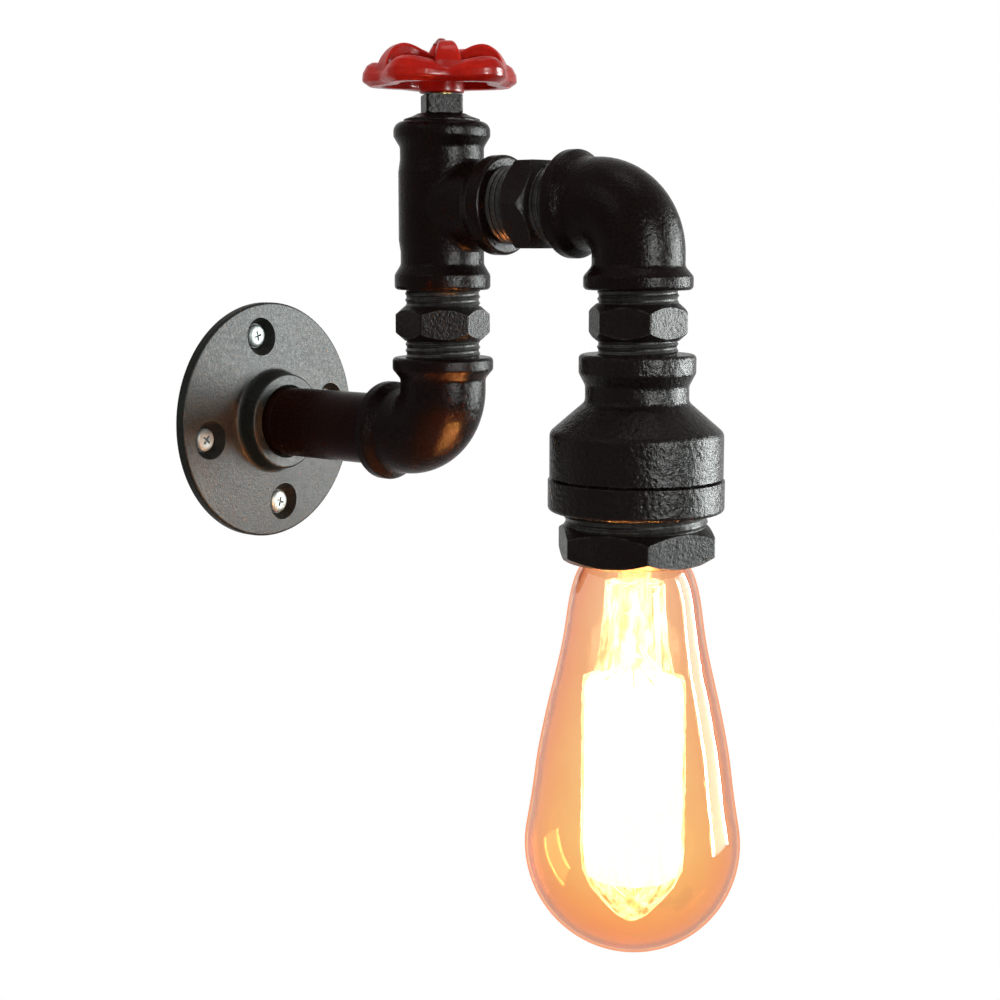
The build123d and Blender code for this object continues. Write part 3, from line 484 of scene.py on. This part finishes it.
# %% [markdown]
# ## Metals
#
# The wall screws and the small iron parts of the lampholder are zinc plated: greyish and cloudy, so
# they scatter light almost as a matt surface does. The valve wheel's screw has worn red paint over
# steel. The brass is rolled sheet with fine scratches along one direction. It is only partly a
# mirror, because the shine-only lamps would burn a full one out to white.

# %% Zinc, brass and nickel
zinc = Finish("cloudy_zinc", metallic=0.06, specular=0.03)
zinc_cloud = zinc.span(zinc.noise(420, 5, 0.65), 0.3, 0.7)
zinc.colour(zinc.blend(zinc_cloud, (0.15, 0.168, 0.168), (0.33, 0.36, 0.35)))
zinc.rough(zinc.span(zinc.noise(900, 4), 0.3, 0.7, 0.34, 0.52))
zinc.bump(zinc.noise(1500, 3), 0.00003)
dress(zinc, "holder_washer", "holder_rod", "holder_locknut", "holder_cover", "terminal_screws")

tip_paint = Finish("red_worn_off_steel", specular=0.1)
bare = tip_paint.span(tip_paint.noise(900, 4, 0.6), 0.50, 0.60)
tip_paint.colour(tip_paint.blend(bare, (0.30, 0.008, 0.005), (0.20, 0.19, 0.18)))
tip_paint.link(bare, tip_paint.shader.inputs["Metallic"])
tip_paint.rough(tip_paint.span(tip_paint.noise(1200, 3), 0.3, 0.7, 0.3, 0.5))
tip_paint.bump(tip_paint.noise(1800, 3), 0.00004)
dress(tip_paint, "wheel_screw")

brass = Finish("rolled_brass", metallic=0.25, specular=0.05)
brass.colour(brass.blend(brass.span(brass.noise(200, 5), 0.3, 0.7), (0.40, 0.26, 0.09), (0.56, 0.39, 0.15)))
brass.rough(brass.span(brass.noise(260, 3, stretch=(1, 1, 14)), 0.3, 0.7, 0.2, 0.36))
brass.bump(brass.noise(700, 2, stretch=(1, 1, 20)), 0.00002)
dress(brass, "holder_screw_shell", "holder_contact_strip", "holder_shell_strip", "holder_terminals",
      "dimmer_spindle", "bulb_cap", "bulb_contact")

nickel = Finish("nickel_wire_painted_glow", metallic=1.0)
nickel.colour(nickel.blend(nickel.noise(900, 3), (0.42, 0.38, 0.33), (0.66, 0.62, 0.56)))
nickel.rough(nickel.span(nickel.noise(1500, 2), 0.3, 0.7, 0.25, 0.4))
# Painted glow: the wires give a warm light of their own, which stands for the filament's light on them.
nickel.shader.inputs["Emission Color"].default_value = (1.0, 0.66, 0.24, 1)
nickel.shader.inputs["Emission Strength"].default_value = 0.9
dress(nickel, "filament_supports", "lead_in_wires")

# %% [markdown]
# ## Inside the lampholder and the tee
#
# These pieces are hidden in use: glazed porcelain, the dimmer's moulded case, the black glass
# under the bulb's cap and the silicone insulation of the wires.

# %% Porcelain, black glass, plastic and silicone
porcelain = Finish("glazed_porcelain", specular=0.5)
glaze_tone = porcelain.span(porcelain.noise(180, 5), 0.4, 0.7)
porcelain.colour(porcelain.blend(glaze_tone, (0.86, 0.84, 0.79), (0.78, 0.75, 0.69)))
porcelain.rough(porcelain.span(porcelain.noise(400, 3), 0.3, 0.7, 0.08, 0.2))
porcelain.bump(porcelain.noise(260, 2), 0.00006)
dress(porcelain, "holder_body")

insulator = Finish("black_vitreous_insulator", specular=0.5)
insulator.colour(insulator.blend(insulator.noise(300, 4), (0.012, 0.012, 0.014), (0.030, 0.030, 0.033)))
insulator.rough(insulator.span(insulator.noise(500, 3), 0.3, 0.7, 0.08, 0.2))
insulator.bump(insulator.noise(350, 2), 0.00008)
dress(insulator, "bulb_insulator")

plastic = Finish("moulded_dimmer_case", specular=0.4)
plastic.colour(plastic.blend(plastic.noise(300, 4), (0.035, 0.035, 0.040), (0.055, 0.055, 0.060)))
plastic.rough(plastic.span(plastic.noise(1500, 3), 0.3, 0.7, 0.5, 0.65))
plastic.bump(plastic.noise(2200, 2), 0.00004)
dress(plastic, "dimmer_body")


def insulation(name, dark, light):
    sleeve = Finish(name, specular=0.4)
    sleeve.colour(sleeve.blend(sleeve.noise(400, 4), dark, light))
    sleeve.rough(sleeve.span(sleeve.noise(900, 3), 0.3, 0.7, 0.42, 0.6))
    sleeve.bump(sleeve.noise(1400, 2), 0.00004)
    return sleeve


dress(insulation("blue_silicone", (0.03, 0.09, 0.27), (0.06, 0.15, 0.38)), "neutral_wire")
dress(insulation("brown_silicone", (0.15, 0.06, 0.03), (0.23, 0.095, 0.05)), "live_wire", "switched_wire")

# %% [markdown]
# ## Amber glass
#
# The bulb is blown glass with a thin amber tint. Its wall has an outside and an inside, so light
# bends twice on each side as in real glass. To a lamp's shadow ray it is clear, so the lit filament
# shines on the fittings. The tint is deeper towards the outline, where a ray runs a long way inside
# the wall, and more orange at the bottom than at the neck. At the very edge real glass mirrors the
# room, and here that would be a white line on white, so the mirror gives way to plain tint there.


# %% Glass that lets lamps through
def clear_to_lamps(glass, tint, rim=None, rim_tint=(1, 1, 1)):
    """Lets shadow rays through with a tint, and shows plain tint where rim is 1."""
    seen = glass.shader.outputs[0]
    path = glass.add("ShaderNodeLightPath")
    for share, colour in ((rim, rim_tint), (path.outputs["Is Shadow Ray"], tint)):
        if share is None:
            continue
        through = glass.add("ShaderNodeBsdfTransparent")
        through.inputs["Color"].default_value = (*colour, 1)
        seen = mixed(glass.tree, share, seen, through.outputs[0])
    glass.link(seen, glass.out.inputs[0])


# %% Amber tint for the bulb
amber = Finish("amber_bulb_glass", roughness=0.0, specular=0.5)
glass_low, glass_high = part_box("bulb_glass")
glass_height = glass_high.z - glass_low.z
where = amber.add("ShaderNodeSeparateXYZ")
amber.link(amber.here, where.inputs[0])
low_down = amber.span(where.outputs["Z"], glass_low.z, glass_low.z + 0.3 * glass_height)
up = amber.span(where.outputs["Z"], glass_low.z + 0.25 * glass_height, glass_high.z)
lower_tint = amber.blend(low_down, (0.965, 0.58, 0.25), (0.98, 0.75, 0.41))
through_it = amber.blend(up, lower_tint, (0.955, 0.69, 0.51))
at_edge = amber.blend(up, (0.89, 0.36, 0.13), (0.84, 0.38, 0.25))
slant = amber.add("ShaderNodeLayerWeight")
slant.inputs["Blend"].default_value = 0.38
wave = amber.span(amber.noise(45, 3), 0.3, 0.7, -0.08, 0.08)
edge_share = amber.maths("ADD", amber.span(slant.outputs["Facing"], 0.05, 0.6), wave)
outline = amber.span(slant.outputs["Facing"], 0.50, 0.76)
amber.colour(amber.blend(outline, amber.blend(edge_share, through_it, at_edge), (0.86, 0.30, 0.13)))
amber.shader.inputs["Transmission Weight"].default_value = 1.0
amber.shader.inputs["IOR"].default_value = 1.5
amber.bump(amber.noise(60, 1), 0.0001)
rim = amber.span(slant.outputs["Facing"], 0.58, 0.80)
clear_to_lamps(amber, (0.96, 0.88, 0.78), rim, (0.955, 0.60, 0.42))
dress(amber, "bulb_glass")

# %% [markdown]
# The stem is clear glass. It stands right over the lit filament and carries some of its light, which
# a faint glow of its own stands for.

# %% Clear glass for the stem
stem_glass = Finish("clear_stem_glass", roughness=0.02, specular=0.5)
stem_glass.colour(stem_glass.blend(stem_glass.noise(200, 3), (1.0, 0.97, 0.90), (0.96, 0.90, 0.78)))
stem_glass.shader.inputs["Transmission Weight"].default_value = 1.0
stem_glass.shader.inputs["IOR"].default_value = 1.5
stem_glass.bump(stem_glass.noise(300, 2), 0.00015)
stem_glass.shader.inputs["Emission Color"].default_value = (1.0, 0.78, 0.36, 1)
stem_glass.shader.inputs["Emission Strength"].default_value = 0.25
clear_to_lamps(stem_glass, (0.96, 0.95, 0.93))
dress(stem_glass, "bulb_stem")

# %% [markdown]
# ## The lit filament
#
# A carbon filament glows between orange and yellow-white, not quite evenly along its strands.

# %% Glowing carbon
carbon = Finish("glowing_carbon", roughness=0.6)
carbon.colour((0.10, 0.05, 0.02, 1))
heat = carbon.span(carbon.noise(220, 2), 0.3, 0.7)
carbon.link(carbon.blend(heat, (1.0, 0.62, 0.22), (1.0, 0.78, 0.38)), carbon.shader.inputs["Emission Color"])
carbon.shader.inputs["Emission Strength"].default_value = 14.0
dress(carbon, "bulb_filament")

# %% [markdown]
# ## Threads
#
# Between a hexagon and the fitting it screws into, two or three turns of pipe thread stay in sight.
# A triangle, the section of one V-shaped ridge, is wound round the pipe with the Screw modifier, which
# is how a thread is cut: one turn moves it along by one pitch.


# %% Wind a thread
def thread(name, radius, depth, pitch, length):
    """A ridge wound along +Z from the origin, its foot sunk a little into the pipe."""
    bpy.ops.object.select_all(action="DESELECT")
    bpy.ops.mesh.primitive_circle_add(vertices=3, radius=1.0, fill_type="NOTHING", rotation=(pi / 2, 0, 0))
    ridge = bpy.context.object
    ridge.name = name
    bpy.ops.object.transform_apply(location=False, rotation=True, scale=False)
    foot, half_width = radius - 0.1 * mm, 0.48 * pitch
    corners = ((foot, -half_width), (foot, half_width), (radius + depth, 0))
    for vertex, (x, z) in zip(ridge.data.vertices, corners):
        vertex.co = (x, 0, z)
    wind = ridge.modifiers.new("wind", "SCREW")
    wind.axis = "Z"
    wind.angle = 2 * pi
    wind.screw_offset = pitch
    wind.iterations = max(1, round(length / pitch))
    wind.steps = wind.render_steps = 56
    wind.use_smooth_shade = False
    bpy.ops.object.modifier_apply(modifier="wind")
    bpy.ops.object.mode_set(mode="EDIT")
    bpy.ops.mesh.select_all(action="SELECT")
    bpy.ops.mesh.fill_holes(sides=3)
    bpy.ops.mesh.normals_make_consistent(inside=False)
    bpy.ops.object.mode_set(mode="OBJECT")
    return ridge


def put(piece, matrix, body, finish):
    """Moves a piece's mesh to its place, and gives it its body and finish."""
    piece.data.transform(matrix)
    piece.data.materials.clear()
    piece.data.materials.append(finish.material)
    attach(piece, body)
    print(piece.name, len(piece.data.polygons), "faces on", body)


# %% [markdown]
# The half-inch thread has a pitch of 1.81 mm. Each thread starts just inside one fitting and ends
# just inside the next, and passes under the hexagon. The bush's thread shows only between its
# hexagon and the reducer. The paint on threads is thin, and worn to grey at the crests.

# %% Threads of the three nipples and the bush
crest_paint = black_casting(
    "thin_black_on_threads", (0.012, 0.009, 0.007), (0.05, 0.047, 0.04), peel=1500,
    peel_depth=0.00004, lumps_depth=0.00008, roughness=(0.22, 0.4), specular=0.08, wear=1.0)
HALF_INCH_PITCH = 1.814 * mm
PIPE_THREAD_R = 10.45 * mm
PIPE_THREAD_DEPTH = 0.42 * mm
BUSH_THREAD_R = 18.9 * mm
BUSH_THREAD_DEPTH = 0.5 * mm
BUSH_PITCH = 2.309 * mm
BUSH_THREAD_SHOWS = 4.1 * mm
INTO = 0.6 * mm  # how far a thread runs on into the fitting at each end


def stretch_thread(name, low, high, axis, radius, depth, pitch):
    """Winds a thread over an open stretch of pipe; axis takes +Z to the pipe's axis."""
    ridge = thread(name, radius, depth, pitch, high - low + 2 * INTO)
    put(ridge, axis @ Matrix.Translation((0, 0, low - INTO)), "arm", crest_paint)


up_riser = Matrix.Translation((0, riser.y, 0))
up_drop = Matrix.Translation((0, drop.y, 0))
along_branch = Matrix.Translation((0, 0, branch.z)) @ Matrix.Rotation(-pi / 2, 4, "X")
for name, gap, axis in (("riser_thread", riser_gap, up_riser), ("drop_thread", drop_gap, up_drop),
                        ("branch_thread", branch_gap, along_branch)):
    stretch_thread(name, *gap, axis, PIPE_THREAD_R, PIPE_THREAD_DEPTH, HALF_INCH_PITCH)
stretch_thread("bush_thread", bush_gap[1] - BUSH_THREAD_SHOWS, bush_gap[1], up_drop,
               BUSH_THREAD_R, BUSH_THREAD_DEPTH, BUSH_PITCH)

# %% [markdown]
# The bulb's cap has the coarse round thread that all lamps of its size share. It is rolled into thin
# brass, so four low turns are wound round the cap. They stand out less than the room that the holder
# leaves, and they show when the bulb is drawn out.

# %% Thread of the bulb's cap
cap_low, cap_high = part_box("bulb_cap")
CAP_PITCH = 3.629 * mm
CAP_THREAD_START = 3.4 * mm
cap_thread = thread("cap_thread", (cap_high.x - cap_low.x) / 2, 0.25 * mm, CAP_PITCH, 4 * CAP_PITCH)
put(cap_thread, Matrix.Translation((0, drop.y, cap_low.z + CAP_THREAD_START)), "bulb", brass)

# %% [markdown]
# ## Wood screws
#
# Four cross-head screws hold the flange. One is built from a small disc, extruded and resized
# upwards ring by ring, the way a lathe hand sees it. Two crossed wedges cut the recess, and a coarse
# thread is wound on the shank. The other three are copies, each stopped at its own angle.


# %% Raise a round piece ring by ring
def raised(name, rings, segments=40):
    """A closed round piece on +Z, through (radius, height) rings from the lowest up."""
    (first_r, first_z), *rest = rings
    bpy.ops.object.select_all(action="DESELECT")
    bpy.ops.mesh.primitive_circle_add(vertices=segments, radius=first_r, fill_type="NGON",
                                      location=(0, 0, first_z))
    piece = bpy.context.object
    piece.name = name
    bpy.ops.object.transform_apply(location=True, rotation=False, scale=False)
    bpy.ops.object.mode_set(mode="EDIT")
    bpy.ops.mesh.select_all(action="SELECT")
    last_r, last_z = first_r, first_z
    for r, z in rest:
        bpy.ops.mesh.extrude_region_move(TRANSFORM_OT_translate={"value": (0, 0, z - last_z)})
        bpy.ops.transform.resize(value=(r / last_r, r / last_r, 1))
        last_r, last_z = r, z
    bpy.ops.mesh.select_all(action="SELECT")
    bpy.ops.mesh.normals_make_consistent(inside=False)
    bpy.ops.object.mode_set(mode="OBJECT")
    bpy.ops.object.shade_smooth_by_angle(angle=radians(35))
    return piece


# %% [markdown]
# The screw runs from its point, 24 mm behind the wall's face, through the shank to a pan head that
# stands on the flange's ledge.

# %% One screw with its recess and thread
HEAD_TOP = 2.2
screw_rings = [(0.15, -24.1), (1.3, -20.0), (1.35, -5.0), (1.6, -3.5), (1.65, 0.88), (3.35, 0.9), (3.5, 1.0),
               (3.5, 1.35), (3.42, 1.65), (3.2, 1.9), (2.8, 2.08), (2.3, 2.17), (1.6, HEAD_TOP)]
screw = raised("wood_screws", [(r * mm, z * mm) for r, z in screw_rings])
head_top = HEAD_TOP * mm
WEDGE_TAPER = 0.55  # the bottom of the recess against its mouth
for turn in (0, pi / 2):
    bpy.ops.object.select_all(action="DESELECT")
    bpy.ops.mesh.primitive_cube_add(size=1, location=(0, 0, head_top))
    wedge = bpy.context.object
    wedge.scale = (3.9 * mm, 0.85 * mm, 1.7 * mm)
    wedge.rotation_euler.z = turn
    bpy.ops.object.transform_apply(location=True, rotation=True, scale=True)
    for vertex in wedge.data.vertices:
        if vertex.co.z < head_top:
            vertex.co.x *= WEDGE_TAPER
            vertex.co.y *= WEDGE_TAPER
    cut = screw.modifiers.new("recess", "BOOLEAN")
    cut.operation = "DIFFERENCE"
    cut.solver = "EXACT"
    cut.object = wedge
    bpy.context.view_layer.objects.active = screw
    bpy.ops.object.modifier_apply(modifier="recess")
    bpy.data.objects.remove(wedge)
screw_ridge = thread("screw_ridge", 1.4 * mm, 0.5 * mm, 1.6 * mm, 16 * mm)
screw_ridge.data.transform(Matrix.Translation((0, 0, -21.5 * mm)))
print("one screw:", len(screw.data.polygons), "faces, and", len(screw_ridge.data.polygons), "on its thread")

# %% [markdown]
# The holes in the flange are a quarter turn apart, the first of them 9 degrees left of the top.

# %% Four screws round the flange
SCREW_CIRCLE_R = 26.95 * mm
FIRST_SCREW_DEG = 99
STOPS_DEG = (12, 51, -17, 33)  # where each screw happened to stop
out_of_wall = Matrix.Rotation(pi / 2, 4, "X")
copies = []
for i, stop_deg in enumerate(STOPS_DEG):
    round_flange = radians(FIRST_SCREW_DEG + 90 * i)
    spot = Matrix.Translation((SCREW_CIRCLE_R * cos(round_flange), SCREW_CIRCLE_R * sin(round_flange), 0))
    for part in (screw, screw_ridge):
        copy = part.copy()
        copy.data = part.data.copy()
        bpy.context.collection.objects.link(copy)
        copy.data.transform(out_of_wall @ spot @ Matrix.Rotation(radians(stop_deg), 4, "Z"))
        copies.append(copy)
bpy.data.objects.remove(screw)
bpy.data.objects.remove(screw_ridge)
bpy.ops.object.select_all(action="DESELECT")
for copy in copies:
    copy.select_set(True)
bpy.context.view_layer.objects.active = copies[0]
bpy.ops.object.join()
screws = bpy.context.object
screws.name = "wood_screws"
put(screws, Matrix.Identity(4), "arm", zinc)
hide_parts("flange_screws")

# %% [markdown]
# ## The glow of the filament
#
# A camera shows a lit filament as a white column with a yellow fringe, because the light spills over
# the thin strands. Two closed shells stand for that spill: a bright core round the cage of strands
# and a streaky yellow fringe round it, which runs on along the stem above and the hooks below. Both
# are partly clear, so the strands still show through. They light no matt surface and cast no shadow.


# %% A finish that glows and is partly clear
def spill(name, dim, bright, strength, solid_low, solid_high, streaks):
    """A glow that streaks between two colours, and is clearer where it is dim."""
    glow = Finish(name, roughness=0.9, specular=0.0)
    glow.colour((0.0, 0.0, 0.0, 1))
    streak = glow.span(glow.noise(*streaks), 0.38, 0.62)
    glow.link(glow.blend(streak, dim, bright), glow.shader.inputs["Emission Color"])
    glow.shader.inputs["Emission Strength"].default_value = strength
    glow.link(glow.span(streak, 0.0, 1.0, solid_low, solid_high), glow.shader.inputs["Alpha"])
    return glow


core_glow = spill("white_core_glow", dim=(1.0, 0.93, 0.78), bright=(1.0, 0.96, 0.88), strength=4.2,
                  solid_low=0.72, solid_high=0.9, streaks=(120, 2, 0.5, (1, 1, 0.5)))
fringe_glow = spill("yellow_fringe_glow", dim=(0.62, 0.42, 0.12), bright=(1.0, 0.95, 0.80), strength=3.2,
                    solid_low=0.10, solid_high=0.85, streaks=(330, 3, 0.6, (1, 1, 0.25)))

# %% [markdown]
# Each shell is raised ring by ring, like the screw. A ripple round and along it then keeps its edge
# from being a ruled line.

# %% The two shells
core_rings = [(9.5, -118.6), (12.4, -117.4), (13.4, -114.5), (13.6, -110), (13.6, -72), (13.6, -66),
              (13.4, -64.0), (12.4, -62.8)]
fringe_rings = [(1.6, -131.5), (4.5, -129.5), (8.5, -125.0), (12.0, -120.6), (14.0, -116), (14.4, -110),
                (14.4, -72), (14.4, -65.5), (14.0, -62.6), (11.0, -61.4), (9.6, -54), (8.6, -44), (8.2, -36)]
for name, rings, finish in (("glow_core", core_rings, core_glow), ("glow_fringe", fringe_rings, fringe_glow)):
    shell = raised(name, [(r * mm, z * mm) for r, z in rings], 64)
    for vertex in shell.data.vertices:
        x, y, z = vertex.co
        ripple = 1 + 0.02 * cos(10 * atan2(y, x)) + 0.01 * sin(z / mm)
        vertex.co = (x * ripple, y * ripple, z)
    put(shell, Matrix.Translation((0, drop.y, 0)), "bulb", finish)
    shell.visible_shadow = False
    shell.visible_diffuse = False
